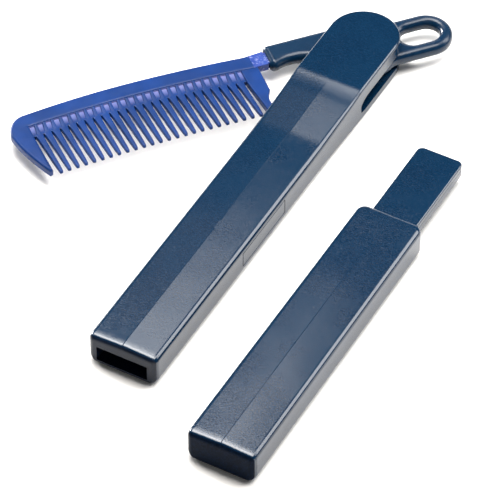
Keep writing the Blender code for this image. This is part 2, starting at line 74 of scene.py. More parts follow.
class Pick(Enum):
    """What a selection holds, in the order of Blender's select modes."""

    POINTS = "verts"
    EDGES = "edges"
    FACES = "faces"


class Axis(Enum):
    """A direction of the frame, by its place in a vector."""

    X = 0
    Y = 1
    Z = 2

    def vector(self) -> Vector:
        """The direction as a unit vector."""
        return Vector([float(self.value == index) for index in range(3)])


class Zone(Enum):
    """The material slots of a piece."""

    MAIN = 0
    SECOND = 1
    THIRD = 2


# Helpers for modelling


def make_active(item: Item) -> None:
    """Selects one object and nothing else.

    Args:
        item: The object.
    """
    bpy.ops.object.select_all(action="DESELECT")
    item.select_set(True)
    bpy.context.view_layer.objects.active = item


@contextmanager
def editing(item: Item) -> Iterator[None]:
    """Puts one object in edit mode, with nothing selected in it, and leaves edit mode at the end.

    Args:
        item: The object to edit.

    Returns:
        The context, which holds nothing.
    """
    make_active(item)
    bpy.ops.object.mode_set(mode="EDIT")
    bpy.ops.mesh.select_all(action="DESELECT")
    yield
    bpy.ops.object.mode_set(mode="OBJECT")


# These work on the object that is in edit mode.


def pick(kind: Pick, test: Test) -> int:
    """Selects the points, edges or faces that pass a test, and nothing else.

    Args:
        kind: What to select.
        test: The test of each element.

    Returns:
        How many elements passed.
    """
    bpy.context.tool_settings.mesh_select_mode = [kind is option for option in Pick]
    bpy.ops.mesh.select_all(action="DESELECT")
    mesh = bpy.context.edit_object.data
    bm = bmesh.from_edit_mesh(mesh)
    found = [element for element in getattr(bm, kind.value) if test(element)]
    for element in found:
        element.select_set(True)
    bm.select_flush_mode()
    bmesh.update_edit_mesh(mesh)
    return len(found)


def every(element: Edge | Face, test: PlaceTest) -> bool:
    """Says whether all the points of an edge or face pass a test of their place."""
    return all(test(vert.co) for vert in element.verts)


def span(edge: Edge, axis: Axis) -> float:
    """How far an edge reaches along an axis."""
    return abs(edge.verts[0].co[axis.value] - edge.verts[1].co[axis.value])


def places_along(axis: Axis, test: PlaceTest) -> list[float]:
    """Finds where points lie along an axis.

    Args:
        axis: The axis.
        test: The test of each point's place.

    Returns:
        The places of the points that pass, in order and each one once.
    """
    bm = bmesh.from_edit_mesh(bpy.context.edit_object.data)
    return sorted({round(vert.co[axis.value], 6) for vert in bm.verts if test(vert.co)})


def bevel_edges(test: Test, width: float, steps: int, clamp: bool = False) -> None:
    """Rounds the edges that pass a test."""
    if pick(Pick.EDGES, test):
        bpy.ops.mesh.bevel(offset=width, segments=steps, affect="EDGES", clamp_overlap=clamp)


def scale_points(test: PlaceTest, scale: Point, centre: Point) -> None:
    """Scales the points whose places pass a test about a centre."""
    pick(Pick.POINTS, lambda vert: test(vert.co))
    bpy.ops.transform.resize(value=scale, center_override=centre)


def lift_points(test: PlaceTest, rise: float) -> None:
    """Raises the points whose places pass a test."""
    pick(Pick.POINTS, lambda vert: test(vert.co))
    bpy.ops.transform.translate(value=(0.0, 0.0, rise))


def cut(axis: Axis, places: Sequence[float], faces: Test | None = None) -> None:
    """Bisects the mesh, or some of its faces, with planes across an axis.

    Args:
        axis: The axis that the planes lie across.
        places: Where the planes lie.
        faces: The test of the faces that are cut, or None to cut them all.
    """
    for place in places:
        if faces is None:
            bpy.ops.mesh.select_all(action="SELECT")
        else:
            pick(Pick.FACES, faces)
        bpy.ops.mesh.bisect(
            plane_co=axis.vector() * place, plane_no=axis.vector(), threshold=NEAR / 4
        )
    bmesh.update_edit_mesh(bpy.context.edit_object.data)


def settle(item: Item) -> None:
    """Moves an object's place, turn and size into its mesh."""
    make_active(item)
    bpy.ops.object.transform_apply(location=True, rotation=True, scale=True)


def add_block(name: str, low: Point, high: Point) -> Item:
    """Adds a block, with its place in its mesh.

    Args:
        name: The object's name.
        low: Its lowest corner.
        high: The opposite corner.

    Returns:
        The block.
    """
    middle = [(a + b) / 2 for a, b in zip(low, high)]
    size = [b - a for a, b in zip(low, high)]
    bpy.ops.mesh.primitive_cube_add(size=1.0, location=middle, scale=size)
    item = bpy.context.active_object
    item.name = item.data.name = name
    settle(item)
    return item


def add_rod(name: str, radius: float, low: float, high: float) -> Item:
    """Adds an upright cylinder about the pin's axis, with its place in its mesh.

    Args:
        name: The object's name.
        radius: Its radius.
        low: The level of its foot.
        high: The level of its top.

    Returns:
        The cylinder.
    """
    bpy.ops.mesh.primitive_cylinder_add(
        vertices=40, radius=radius, depth=high - low, location=(0.0, 0.0, (low + high) / 2)
    )
    item = bpy.context.active_object
    item.name = item.data.name = name
    settle(item)
    return item


def add_plate(
    name: str, outlines: Sequence[Sequence[PlanPoint]], thickness: float, fillet: float, steps: int
) -> Item:
    """Draws closed outlines and makes them a plate about z = 0, with rounded rims.

    Args:
        name: The object's name.
        outlines: Closed outlines in plan, the later ones holes.
        thickness: The plate's thickness.
        fillet: The radius of its rims.
        steps: How many steps each rim has.

    Returns:
        The plate as a mesh object.
    """
    drawing = bpy.data.curves.new(name, "CURVE")
    drawing.dimensions = "2D"
    drawing.fill_mode = "BOTH"
    drawing.extrude = thickness / 2 - fillet
    drawing.bevel_depth = fillet
    drawing.bevel_resolution = steps
    drawing.offset = -fillet
    for outline in outlines:
        spline = drawing.splines.new("POLY")
        spline.points.add(len(outline) - 1)
        for point, (x, y) in zip(spline.points, outline):
            point.co = (x, y, 0.0, 1.0)
        spline.use_cyclic_u = True
    item = bpy.data.objects.new(name, drawing)
    bpy.context.scene.collection.objects.link(item)
    make_active(item)
    bpy.ops.object.convert(target="MESH")
    item = bpy.context.active_object
    with editing(item):
        bpy.ops.mesh.select_all(action="SELECT")
        bpy.ops.mesh.remove_doubles(threshold=NEAR / 10)
        bpy.ops.mesh.normals_make_consistent(inside=False)
    return item


def apply_modifier(item: Item, kind: str, **settings: object) -> None:
    """Adds a modifier to an object and applies it.

    Args:
        item: The object.
        kind: The modifier's type.
        **settings: The modifier's settings.
    """
    make_active(item)
    modifier = item.modifiers.new(kind.lower(), kind)
    for name, value in settings.items():
        setattr(modifier, name, value)
    bpy.ops.object.modifier_apply(modifier=modifier.name)


def combine(item: Item, tool: Item, operation: str, overlaps: bool = False) -> None:
    """Cuts a tool from a piece or joins it on, and removes the tool.

    Args:
        item: The piece.
        tool: The solid that is cut away or joined on.
        operation: The boolean's name in Blender.
        overlaps: Whether faces of the piece may overlap one another.
    """
    options = {"operation": operation, "solver": "EXACT", "use_self": overlaps}
    apply_modifier(item, "BOOLEAN", **options, object=tool)
    bpy.data.objects.remove(tool)


def smooth_step(value: float, start: float, end: float) -> float:
    """0 before start, 1 after end, and a smooth rise between."""
    share = min(max((value - start) / (end - start), 0.0), 1.0)
    return share * share * (3.0 - 2.0 * share)


def steps_between(start: float, end: float, count: int) -> list[float]:
    """Evenly spaced values from start to end, both included."""
    return [start + (end - start) * index / count for index in range(count + 1)]


def arc(centre: PlanPoint, radius: float, start: float, end: float, steps: int) -> list[PlanPoint]:
    """Points along an arc, with its angles in degrees."""
    angles = [math.radians(angle) for angle in steps_between(start, end, steps)]
    return [(centre[0] + radius * math.cos(a), centre[1] + radius * math.sin(a)) for a in angles]


def direction(centre: PlanPoint, point: PlanPoint) -> float:
    """The angle in degrees at which a point is seen from a centre."""
    return math.degrees(math.atan2(point[1] - centre[1], point[0] - centre[0]))


# Finishes


def linear(code: str) -> tuple[float, float, float, float]:
    """Turns an sRGB hex value into a linear colour.

    Args:
        code: The value, as "#RRGGBB".

    Returns:
        Linear red, green and blue, and alpha 1.
    """
    shares = [int(code[index : index + 2], 16) / 255 for index in (1, 3, 5)]
    mixed = [s / 12.92 if s <= 0.04045 else ((s + 0.055) / 1.055) ** 2.4 for s in shares]
    return (mixed[0], mixed[1], mixed[2], 1.0)


def feed(node: bpy.types.Node, feeds: dict[str | int, object]) -> None:
    """Sets or links a node's inputs.

    Args:
        node: The node.
        feeds: For each input, by name or place, its value or the output that is linked to it.
    """
    for key, value in feeds.items():
        if isinstance(value, bpy.types.NodeSocket):
            node.id_data.links.new(value, node.inputs[key])
        else:
            node.inputs[key].default_value = value


def add_node(
    tree: bpy.types.NodeTree,
    kind: str,
    feeds: dict[str | int, object] | None = None,
    output: str | int = 0,
    **settings: object,
) -> bpy.types.NodeSocket:
    """Adds one node, with its settings and what feeds it.

    Args:
        tree: The node tree.
        kind: The node's type.
        feeds: For each input, by name or place, its value or the output that is linked to it.
        output: The node's output that is used, by name or place.
        **settings: Values of the node's own properties.

    Returns:
        The output that is used.
    """
    node = tree.nodes.new(kind)
    for name, value in settings.items():
        setattr(node, name, value)
    feed(node, feeds or {})
    return node.outputs[output]


def new_material(name: str) -> tuple[Material, bpy.types.Node]:
    """Starts a material with a bare Principled shader.

    Args:
        name: The material's name.

    Returns:
        The material and its shader node.
    """
    material = bpy.data.materials.new(name)
    material.use_nodes = True
    return material, material.node_tree.nodes["Principled BSDF"]


@dataclass(frozen=True)
class Pattern:
    """A noise that a finish follows: the size of its cells, its form, and its depth as relief."""

    name: str
    size: float
    detail: float = 1.0
    softness: float = 0.5
    distortion: float = 0.0
    squeeze: Point = (1.0, 1.0, 1.0)
    lean: float = 0.0
    depth: float = 0.0


@dataclass(frozen=True)
class Layer:
    """A colour over a finish's own, from none of it to all of it between two values of a pattern.

    The pattern is one of the finish's own, or else an attribute of the piece.
    """

    pattern: str
    none: float
    full: float
    colour: str


@dataclass(frozen=True)
class Finish:
    """What the finishes share: their gloss, colour and relief follow noises fixed to the piece."""

    name: str
    colour: str
    roughness: Pair
    patterns: tuple[Pattern, ...]
    # The pattern that the roughness follows, and its values at the two ends of the roughness.
    gloss: str
    gloss_range: Pair = (0.3, 0.7)
    layers: tuple[Layer, ...] = ()
    turn: float = 0.0
    metallic: float = 0.0
    ior: float = 1.5
    shine: float = 0.5
    clear: float = 0.0
    clear_depth: float = 1.2 * MM

    def material(self) -> Material:
        """Builds the node tree.

        Returns:
            The finished material.
        """
        material, shader = new_material(self.name)
        tree = material.node_tree
        place = add_node(tree, "ShaderNodeTexCoord", output="Object")
        turned = add_node(
            tree, "ShaderNodeMapping", {"Vector": place, "Rotation": (0.0, 0.0, self.turn)}
        )
        values, relief = {}, {}
        for pattern in self.patterns:
            lean = (0.0, 0.0, math.radians(pattern.lean))
            laid = {"Vector": turned, "Rotation": lean, "Scale": pattern.squeeze}
            noise = {
                "Vector": add_node(tree, "ShaderNodeMapping", laid),
                "Scale": 1.0 / pattern.size,
                "Detail": pattern.detail,
                "Roughness": pattern.softness,
                "Distortion": pattern.distortion,
            }
            value = values[pattern.name] = add_node(tree, "ShaderNodeTexNoise", noise)
            if pattern.depth:
                bump = {"Height": value, "Distance": pattern.depth, "Strength": 1.0, **relief}
                relief = {"Normal": add_node(tree, "ShaderNodeBump", bump)}
        colour = linear(self.colour)
        for layer in self.layers:
            if layer.pattern not in values:
                values[layer.pattern] = add_node(
                    tree, "ShaderNodeAttribute", output="Fac", attribute_name=layer.pattern
                )
            ramp = {"Value": values[layer.pattern], "From Min": layer.none, "From Max": layer.full}
            share = add_node(tree, "ShaderNodeMapRange", ramp, interpolation_type="SMOOTHSTEP")
            # Inputs 0, 6 and 7 of a mix node are its share and two colours, and output 2 its colour.
            mix = {0: share, 6: colour, 7: linear(layer.colour)}
            colour = add_node(tree, "ShaderNodeMix", mix, output=2, data_type="RGBA")
        names = ("From Min", "From Max", "To Min", "To Max")
        ramp = dict(zip(names, self.gloss_range + self.roughness), Value=values[self.gloss])
        rough = add_node(tree, "ShaderNodeMapRange", ramp)
        feed(shader, {"Base Color": colour, "Roughness": rough, **relief})
        feed(shader, {"Metallic": self.metallic, "IOR": self.ior, "Specular IOR Level": self.shine})
        feed(shader, {"Subsurface Weight": self.clear, "Subsurface Scale": self.clear_depth})
        return material


@dataclass(frozen=True)
class NavyAbs(Finish):
    """ABS, moulded in a spark-eroded tool: deep navy and semi-gloss, with a fine wavy grain.

    The tool's skin gives soft broken reflections, and slow sink marks make the gloss wander.
    """

    name: str = "navy_abs"
    colour: str = "#031D34"
    roughness: Pair = (0.08, 0.15)
    ior: float = 1.53
    gloss: str = "grain"
    patterns: tuple[Pattern, ...] = (
        Pattern("tone", 26.0 * MM, detail=3.0, softness=0.55),
        Pattern("sink", 30.0 * MM, depth=0.16 * MM),
        # Real grain is near 0.2 mm; it is drawn coarser so that it shows.
        Pattern("grain", 0.85 * MM, 1.0, 0.5, 1.4, (1.0, 2.4, 1.0), lean=-29.0, depth=0.015 * MM),
        Pattern("pores", 0.4 * MM, depth=0.002 * MM),
    )
    # The tone changes slowly, and the crests of the grain are painted a little paler: painted sheen,
    # standing in for the light that they catch.
    layers: tuple[Layer, ...] = (
        Layer("tone", 0.38, 0.68, "#05233B"),
        Layer("grain", 0.42, 0.66, "#06253E"),
    )


@dataclass(frozen=True)
class PaintedShadeEndNavyAbs(NavyAbs):
    """The same ABS on the flat ends of the handles, duller, with its colour darkened as painted shade
    for the shade that falls on the ends.
    """

    name: str = "navy_abs_end_painted_shade"
    colour: str = "#050E1C"
    roughness: Pair = (0.3, 0.38)
    shine: float = 0.03
    layers: tuple[Layer, ...] = (
        Layer("tone", 0.38, 0.68, "#081426"),
        Layer("grain", 0.42, 0.66, "#0A182C"),
    )


@dataclass(frozen=True)
class CombNylon(Finish):
    """Nylon, moulded and tumbled: royal blue and satin, a little clear where it is thin."""

    name: str = "blue_comb_nylon"
    colour: str = "#04295F"
    roughness: Pair = (0.3, 0.4)
    ior: float = 1.53
    shine: float = 0.16
    clear: float = 0.12
    gloss: str = "flow"
    patterns: tuple[Pattern, ...] = (
        Pattern("tone", 12.0 * MM, detail=3.0),
        Pattern("flow", 2.2 * MM, detail=2.0, distortion=0.8, depth=0.003 * MM),
        Pattern("pores", 0.4 * MM, depth=0.001 * MM),
    )
    layers: tuple[Layer, ...] = (Layer("tone", 0.36, 0.66, "#072F6B"),)


@dataclass(frozen=True)
class ThinNylonPaintedGlow(CombNylon):
    """The same nylon in the thin recesses of the comb, where light comes through: that light is painted
    in as a paler glow, stronger upwards.
    """

    name: str = "blue_comb_nylon_thin_painted_glow"
    clear: float = 0.2
    # A paler painted glow stands in for the light coming through; it fades from the ridge down to the
    # roots of the gaps.
    layers: tuple[Layer, ...] = CombNylon.layers + (Layer("recess", 0.9, 0.05, "#62689A"),)


@dataclass(frozen=True)
class ScuffedNylon(CombNylon):
    """The same nylon on the tang, rubbed by the arm's end: paler, with whitish scuffs."""

    name: str = "blue_comb_nylon_tang"
    colour: str = "#1F3478"
    patterns: tuple[Pattern, ...] = CombNylon.patterns + (
        Pattern("scuffs", 1.5 * MM, detail=3.0, squeeze=(1.0, 2.6, 1.0)),
    )
    layers: tuple[Layer, ...] = (
        Layer("tone", 0.36, 0.66, "#2C4287"),
        Layer("scuffs", 0.528, 0.728, "#858CB4"),
    )


@dataclass(frozen=True)
class PinSteel(Finish):
    """Steel, drawn to size: bright, with fine scratches along its length."""

    name: str = "drawn_steel"
    colour: str = "#B9BBBF"
    roughness: Pair = (0.22, 0.38)
    gloss: str = "scratches"
    gloss_range: Pair = (0.0, 1.0)
    patterns: tuple[Pattern, ...] = (
        Pattern("scratches", 0.3 * MM, detail=2.0, squeeze=(1.0, 1.0, 0.08)),
    )
    metallic: float = 1.0


@dataclass(frozen=True)
class SweepPaper:
    """Matt white background paper."""

    name: str = "white_sweep_paper"
    colour: str = "#FAF8F5"
    roughness: float = 0.9
    shine: float = 0.1

    def material(self) -> Material:
        """Builds the plain stage material.

        Returns:
            The finished material.
        """
        material, shader = new_material(self.name)
        plain = {"Roughness": self.roughness, "Specular IOR Level": self.shine}
        feed(shader, {"Base Color": linear(self.colour), **plain})
        return material


def dress(item: Item, *materials: Material) -> None:
    """Gives an object its materials, its smooth shading and its evened normals.

    Args:
        item: The finished object.
        *materials: Its materials, one for each zone.
    """
    keep = [polygon.material_index for polygon in item.data.polygons]
    item.data.materials.clear()
    for material in materials:
        item.data.materials.append(material)
    for polygon, index in zip(item.data.polygons, keep):
        polygon.material_index = min(index, len(materials) - 1)
    make_active(item)
    bpy.ops.object.shade_smooth_by_angle(angle=math.radians(33.0), keep_sharp_edges=True)
    apply_modifier(item, "WEIGHTED_NORMAL", keep_sharp=True, weight=50)


def report(item: Item) -> None:
    """Logs a finished piece with its count of faces."""
    log.info("%s: %d faces", item.name, len(item.data.polygons))


# The mouldings


@dataclass
class MouldedHandle:
    """What the case and the extension handle share: a long block with a low roof on top.

    The block lies along Y. Its near end is rounded all round, its upper rims by top_fillet and its
    long lower edges by low_fillet. The ridge of the roof fades out towards the far end.
    """

    ends: Pair
    half: float
    roof_fade: Pair
    # Where the block is cut across: runs from and to places in millimetres, and their steps.
    cut_runs: tuple[Run, ...]
    height: float = 12.75 * MM
    top_fillet: float = 1.9 * MM
    low_fillet: float = 3.2 * MM
    end_fillet: float = 1.7 * MM
    corner_radius: float = 2.4 * MM
    roof_rise: float = 0.5 * MM
    seam_half: float = 0.35 * MM
    # The step between the two halves of the roof, at places in millimetres along the handle.
    seam_steps: tuple[Pair, ...] = ((-120.0, 0.14), (-105.0, -0.062), (-40.0, -0.056))
    end_drop: float = 0.26 * MM
    end_reach: float = 4.4 * MM
    end_cuts: tuple[float, ...] = (0.5, 0.6, 0.7, 0.85, 1.0)
    hole_reach: float = 60.0 * MM
    fillet_steps: int = 6

    def block(self, name: str) -> Item:
        """Adds the block that the handle is worked from."""
        near_y, far_y = self.ends
        return add_block(name, (-self.half, near_y, 0.0), (self.half, far_y, self.height))

    def round_far_end(self, corner: tuple[float, int], rims: Sequence[tuple[float, int]]) -> None:
        """Rounds the far end in plan and the long rims, and cuts the block across.

        Args:
            corner: The radius of the far corners in plan, and its steps.
            rims: The radius of the lower rims and of the upper rims, with their steps.
        """
        near_y, far_y = self.ends
        bevel_edges(
            lambda edge: every(edge, lambda p: p.y > far_y - NEAR)
            and span(edge, Axis.Z) > self.height / 2,
            *corner,
        )
        for level, (radius, steps) in zip((0.0, self.height), rims):
            bevel_edges(
                lambda edge: every(edge, lambda p: abs(p.z - level) < NEAR)
                and not every(edge, lambda p: p.y <= near_y + NEAR),
                radius,
                steps,
            )
        for start, end, count in self.cut_runs:
            cut(Axis.Y, steps_between(start * MM, end * MM, count))

    def round_near_end(self) -> None:
        """Bevels the near end all round, and widens the rounding of its upright corners."""
        bevel_edges(
            lambda edge: sum(face.normal.y < -0.99 for face in edge.link_faces) == 1,
            self.end_fillet,
            self.fillet_steps,
        )
        end_y, reach = self.ends[0], self.end_fillet + NEAR
        cut(Axis.Y, [end_y + share * self.end_reach for share in self.end_cuts])
        for level in places_along(Axis.Z, lambda p: p.y < end_y + reach):
            low = smooth_step(level, 0.0, self.low_fillet)
            high = 1.0 - smooth_step(level, self.height - self.top_fillet, self.height)
            scale = 1.0 + (self.corner_radius / self.end_fillet - 1.0) * low * high
            if scale < 1.001:
                continue
            for corner in (-self.half, self.half):
                scale_points(
                    lambda p: p.y < end_y + reach
                    and abs(p.x - corner) < reach
                    and abs(p.z - level) < NEAR / 8,
                    (scale, scale, 1.0),
                    (corner, end_y, level),
                )

    def raise_roof(self) -> None:
        """Raises the middle line of the top, with a fine step along it."""
        cut(Axis.X, (-self.seam_half, 0.0))
        for place in places_along(Axis.Y, self.on_ridge):
            share = 1.0 - smooth_step(place, *self.roof_fade)
            if share <= 0.0:
                continue
            for left_side in (False, True):
                rise = self.roof_rise - (self.seam_step(place) if left_side else 0.0)
                lift_points(
                    lambda p: self.on_ridge(p)
                    and abs(p.y - place) < NEAR / 4
                    and (p.x < -self.seam_half / 2) == left_side,
                    share * rise,
                )
        pick(Pick.EDGES, lambda edge: every(edge, self.on_ridge))
        bpy.ops.mesh.mark_sharp()

    def on_ridge(self, place: Vector) -> bool:
        """Says whether a place is on one of the ridge's two lines."""
        return abs(place.x) < self.seam_half + NEAR / 4 and place.z > self.height - self.end_fillet

    def seam_step(self, y: float) -> float:
        """Works out how much lower the left half's ridge is.

        Args:
            y: A place along the handle.

        Returns:
            The step there.
        """
        (start, near_step), (middle, far_step), (end, last_step) = self.seam_steps
        step = near_step + (far_step - near_step) * smooth_step(y, start * MM, middle * MM)
        step += (last_step - far_step) * smooth_step(y, middle * MM, end * MM)
        return step * MM

    def lift(self, y: float) -> float:
        """How far the top stands above the handle's height: it falls away close to the near end."""
        share = min(max((y - self.ends[0]) / self.end_reach, 0.0), 1.0)
        return -self.end_drop * (1.0 - share) ** 2

    def shape_top(self) -> None:
        """Lifts the top to its long profile, place by place."""
        middle = self.height / 2
        bm = bmesh.from_edit_mesh(bpy.context.edit_object.data)
        places = sorted(v.co.y for v in bm.verts if v.co.z > middle)
        starts = [place for last, place in zip([-1.0] + places, places) if place - last > NEAR / 4]
        for start, end in zip(starts, starts[1:] + [1.0]):
            rise = self.lift(start)
            if abs(rise) > NEAR / 40:
                lift_points(lambda p: p.z > middle and start <= p.y < end, rise)

    def mark_end(self, item: Item, hole: float = 0.0) -> None:
        """Gives the flat near end, and the inside of a hole in it, the second material slot, whose
        darker colour is painted shade.

        Args:
            item: The handle.
            hole: Half the hole's width.
        """
        end_y = self.ends[0]
        for polygon in item.data.polygons:
            middle = polygon.center
            at_end = middle.y < end_y + self.corner_radius and polygon.normal.y < -0.6
            inside = abs(middle.x) < hole + NEAR and NEAR < middle.y - end_y < self.hole_reach
            inside = inside and self.low_fillet / 2 < middle.z < self.height - self.low_fillet
            # The second slot is the darker end finish: painted shade on the end and inside the hole.
            polygon.material_index = (Zone.SECOND if at_end or inside else Zone.MAIN).value


@dataclass
class Case(MouldedHandle):
    """The long case: round nose, slot for the lever and comb, socket in the square end."""

    ends: Pair = (-177.6 * MM, 13.5 * MM)
    half: float = 13.5 * MM
    roof_fade: Pair = (-36.0 * MM, -27.0 * MM)
    cut_runs: tuple[Run, ...] = ((-168.0, -64.0, 26), (-62.0, -24.0, 38), (-20.0, -4.0, 4))
    nose_fillet: float = 1.0 * MM
    fillet_grade: Pair = (-60.0 * MM, -20.0 * MM)
    # The slope of the top at places in millimetres: two gentle ramps up to the flat nose.
    slopes: tuple[Pair, ...] = (
        (-63.0, 0.0),
        (-58.0, 0.015),
        (-55.5, 0.0575),
        (-42.0, 0.061),
        (-36.5, 0.058),
        (-34.0, 0.066),
        (-32.6, 0.100),
        (-30.0, 0.124),
        (-27.2, 0.140),
        (-26.4, 0.0),
    )
    slot_z: Pair = (3.4 * MM, 9.3 * MM)
    slot_wall: float = 3.0 * MM
    slot_end_y: float = -134.5 * MM
    wall_slot_end_y: float = -27.0 * MM
    # The lower and the upper corner of the wall slot's end: the radius along the wall, the level
    # where the end's straight stretch begins, and the steps.
    wall_slot_corners: tuple[Run, ...] = ((2.5 * MM, 4.6 * MM, 4), (6.0 * MM, 6.4 * MM, 8))
    socket_half: float = 10.0 * MM
    socket_z: Pair = (2.0 * MM, 8.3 * MM)
    socket_depth: float = 39.5 * MM
    pin_radius: float = 3.3 * MM
    pin_z: Pair = (1.8 * MM, 12.6 * MM)
    label_y: Pair = (-116.0 * MM, -85.0 * MM)
    label_z: Pair = (3.9 * MM, 10.4 * MM)
    label_line: float = 0.4 * MM
    label_depth: float = 0.3 * MM
    label_margin: float = 6.0 * MM
    rim: float = 0.22 * MM
    rim_angle: float = math.radians(38.0)

    def lift(self, y: float) -> float:
        """Works out how far the top stands above the handle's height.

        Args:
            y: A place along the handle.

        Returns:
            The rise up the two ramps, less the fall close to the near end.
        """
        total = super().lift(y)
        for (start, slope), (end, next_slope) in zip(self.slopes, self.slopes[1:]):
            share = min(max((y / MM - start) / (end - start), 0.0), 1.0)
            mean = slope + (next_slope - slope) * share / 2
            total += share * (end - start) * mean * MM
        return total

    def build(self, finish: Material, end_shade_finish: Material) -> Item:
        """Models the case and dresses it.

        Args:
            finish: Its material.
            end_shade_finish: The material of its flat near end and of the socket inside, darker to paint
                the shade there.

        Returns:
            The finished piece, riding on the handle body.
        """
        item = self.block("case_shell")
        rims = ((self.nose_fillet, 8), (self.nose_fillet, self.fillet_steps))
        with editing(item):
            self.round_far_end((self.half - NEAR, 56), rims)
            self.grade_fillets()
            self.round_near_end()
            self.raise_roof()
            self.shape_top()
            self.engrave_label()
        self.open_holes(item)
        self.soften_rims(item)
        self.mark_end(item, self.socket_half)
        dress(item, finish, end_shade_finish)
        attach(item, "handle")
        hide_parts("case")
        return item

    def grade_fillets(self) -> None:
        """Widens the rounding of the long edges away from the nose."""
        reach = self.nose_fillet + NEAR
        for place in places_along(Axis.Y, lambda p: True):
            share = 1.0 - smooth_step(place, *self.fillet_grade)
            if share <= 0.0:
                continue
            for level, radius in ((0.0, self.low_fillet), (self.height, self.top_fillet)):
                scale = 1.0 + (radius / self.nose_fillet - 1.0) * share
                for corner in (-self.half, self.half):
                    scale_points(
                        lambda p: abs(p.y - place) < NEAR / 8
                        and abs(p.z - level) < reach
                        and abs(p.x - corner) < reach,
                        (scale, 1.0, scale),
                        (corner, place, level),
                    )

    def engrave_label(self) -> None:
        """Engraves a bare frame on the right wall."""
        (low_y, high_y), (low_z, high_z) = self.label_y, self.label_z

        def inside(face: Face, y_margin: float, z_margin: float) -> bool:
            """Tests a face of the mesh against the frame.

            Args:
                face: The face.
                y_margin: How far inside the frame's ends its middle has to lie.
                z_margin: How far inside the frame's long sides its middle has to lie.

            Returns:
                Whether it is part of the right wall and lies inside.
            """
            _, y, z = face.calc_center_median()
            beside = low_y + y_margin < y < high_y - y_margin
            return beside and low_z + z_margin < z < high_z - z_margin and face.normal.x > 0.999

        def near_frame(face: Face) -> bool:
            """Says whether a face of the right wall may lie over the frame."""
            return inside(face, -self.label_margin, -self.height)

        cut(Axis.Y, self.label_y, near_frame)
        cut(Axis.Z, self.label_z, near_frame)
        line = self.label_line
        pick(Pick.FACES, lambda face: inside(face, 0.0, 0.0))
        bpy.ops.mesh.inset(thickness=line, use_boundary=True)
        pick(Pick.FACES, lambda face: inside(face, 0.0, 0.0) and not inside(face, line, line))
        bpy.ops.mesh.extrude_region_move(
            TRANSFORM_OT_translate={"value": (-self.label_depth, 0.0, 0.0)}
        )

    def open_holes(self, item: Item) -> None:
        """Cuts the slot for the lever and comb, the wall slot, the socket and the pin's holes.

        Args:
            item: The case.
        """
        beyond, inner, end_y = 2.0 * self.half, self.half - self.slot_wall, self.ends[0]
        (low, high), (floor, roof) = self.slot_z, self.socket_z
        cutters = (
            add_block("slot_cutter", (-beyond, self.slot_end_y, low), (inner, beyond, high)),
            self.wall_slot_cutter(),
            add_block(
                "socket_cutter",
                (-self.socket_half, end_y - self.half, floor),
                (self.socket_half, end_y + self.socket_depth, roof),
            ),
            add_rod("pin_cutter", self.pin_radius, *self.pin_z),
        )
        # Faces overlap by a hair at the near corners, and a plain cut now and then came out
        # inside out because of them.
        for cutter in cutters:
            combine(item, cutter, "DIFFERENCE", overlaps=True)

    def wall_slot_cutter(self) -> Item:
        """Models what the short slot in the right wall leaves out, with its round end.

        Returns:
            The cutter.
        """
        inner, end_y = self.half - self.slot_wall - GAP, self.wall_slot_end_y
        low, high = self.slot_z
        wall = add_block("wall_slot_cutter", (inner, end_y, low), (2.0 * self.half, self.half, high))
        with editing(wall):
            for level, (radius, straight, steps) in zip(self.slot_z, self.wall_slot_corners):
                rise = abs(level - straight)
                bevel_edges(
                    lambda edge: every(
                        edge, lambda p: p.y < end_y + NEAR and abs(p.z - level) < NEAR
                    ),
                    min(radius, rise),
                    steps,
                )
                scale_points(
                    lambda p: end_y - NEAR < p.y < 0.0 and abs(p.z - level) < rise + NEAR,
                    (1.0, radius / min(radius, rise), 1.0),
                    (0.0, end_y, 0.0),
                )
        return wall

    def soften_rims(self, item: Item) -> None:
        """Bevels the sharp rims of the socket, and of both slots where they show.

        Args:
            item: The case.
        """
        low, high = self.slot_z

        def on_rim(place: Vector) -> bool:
            """Says whether a place is on the near end, or on a slot's rim that shows."""
            shows = place.x > self.half - NEAR or place.y > 0.0
            return place.y < self.ends[0] + NEAR or (shows and low - NEAR < place.z < high + NEAR)

        with editing(item):
            bevel_edges(
                lambda edge: len(edge.link_faces) == 2
                and edge.calc_face_angle(0.0) > self.rim_angle
                and every(edge, on_rim),
                self.rim,
                2,
                clamp=True,
            )


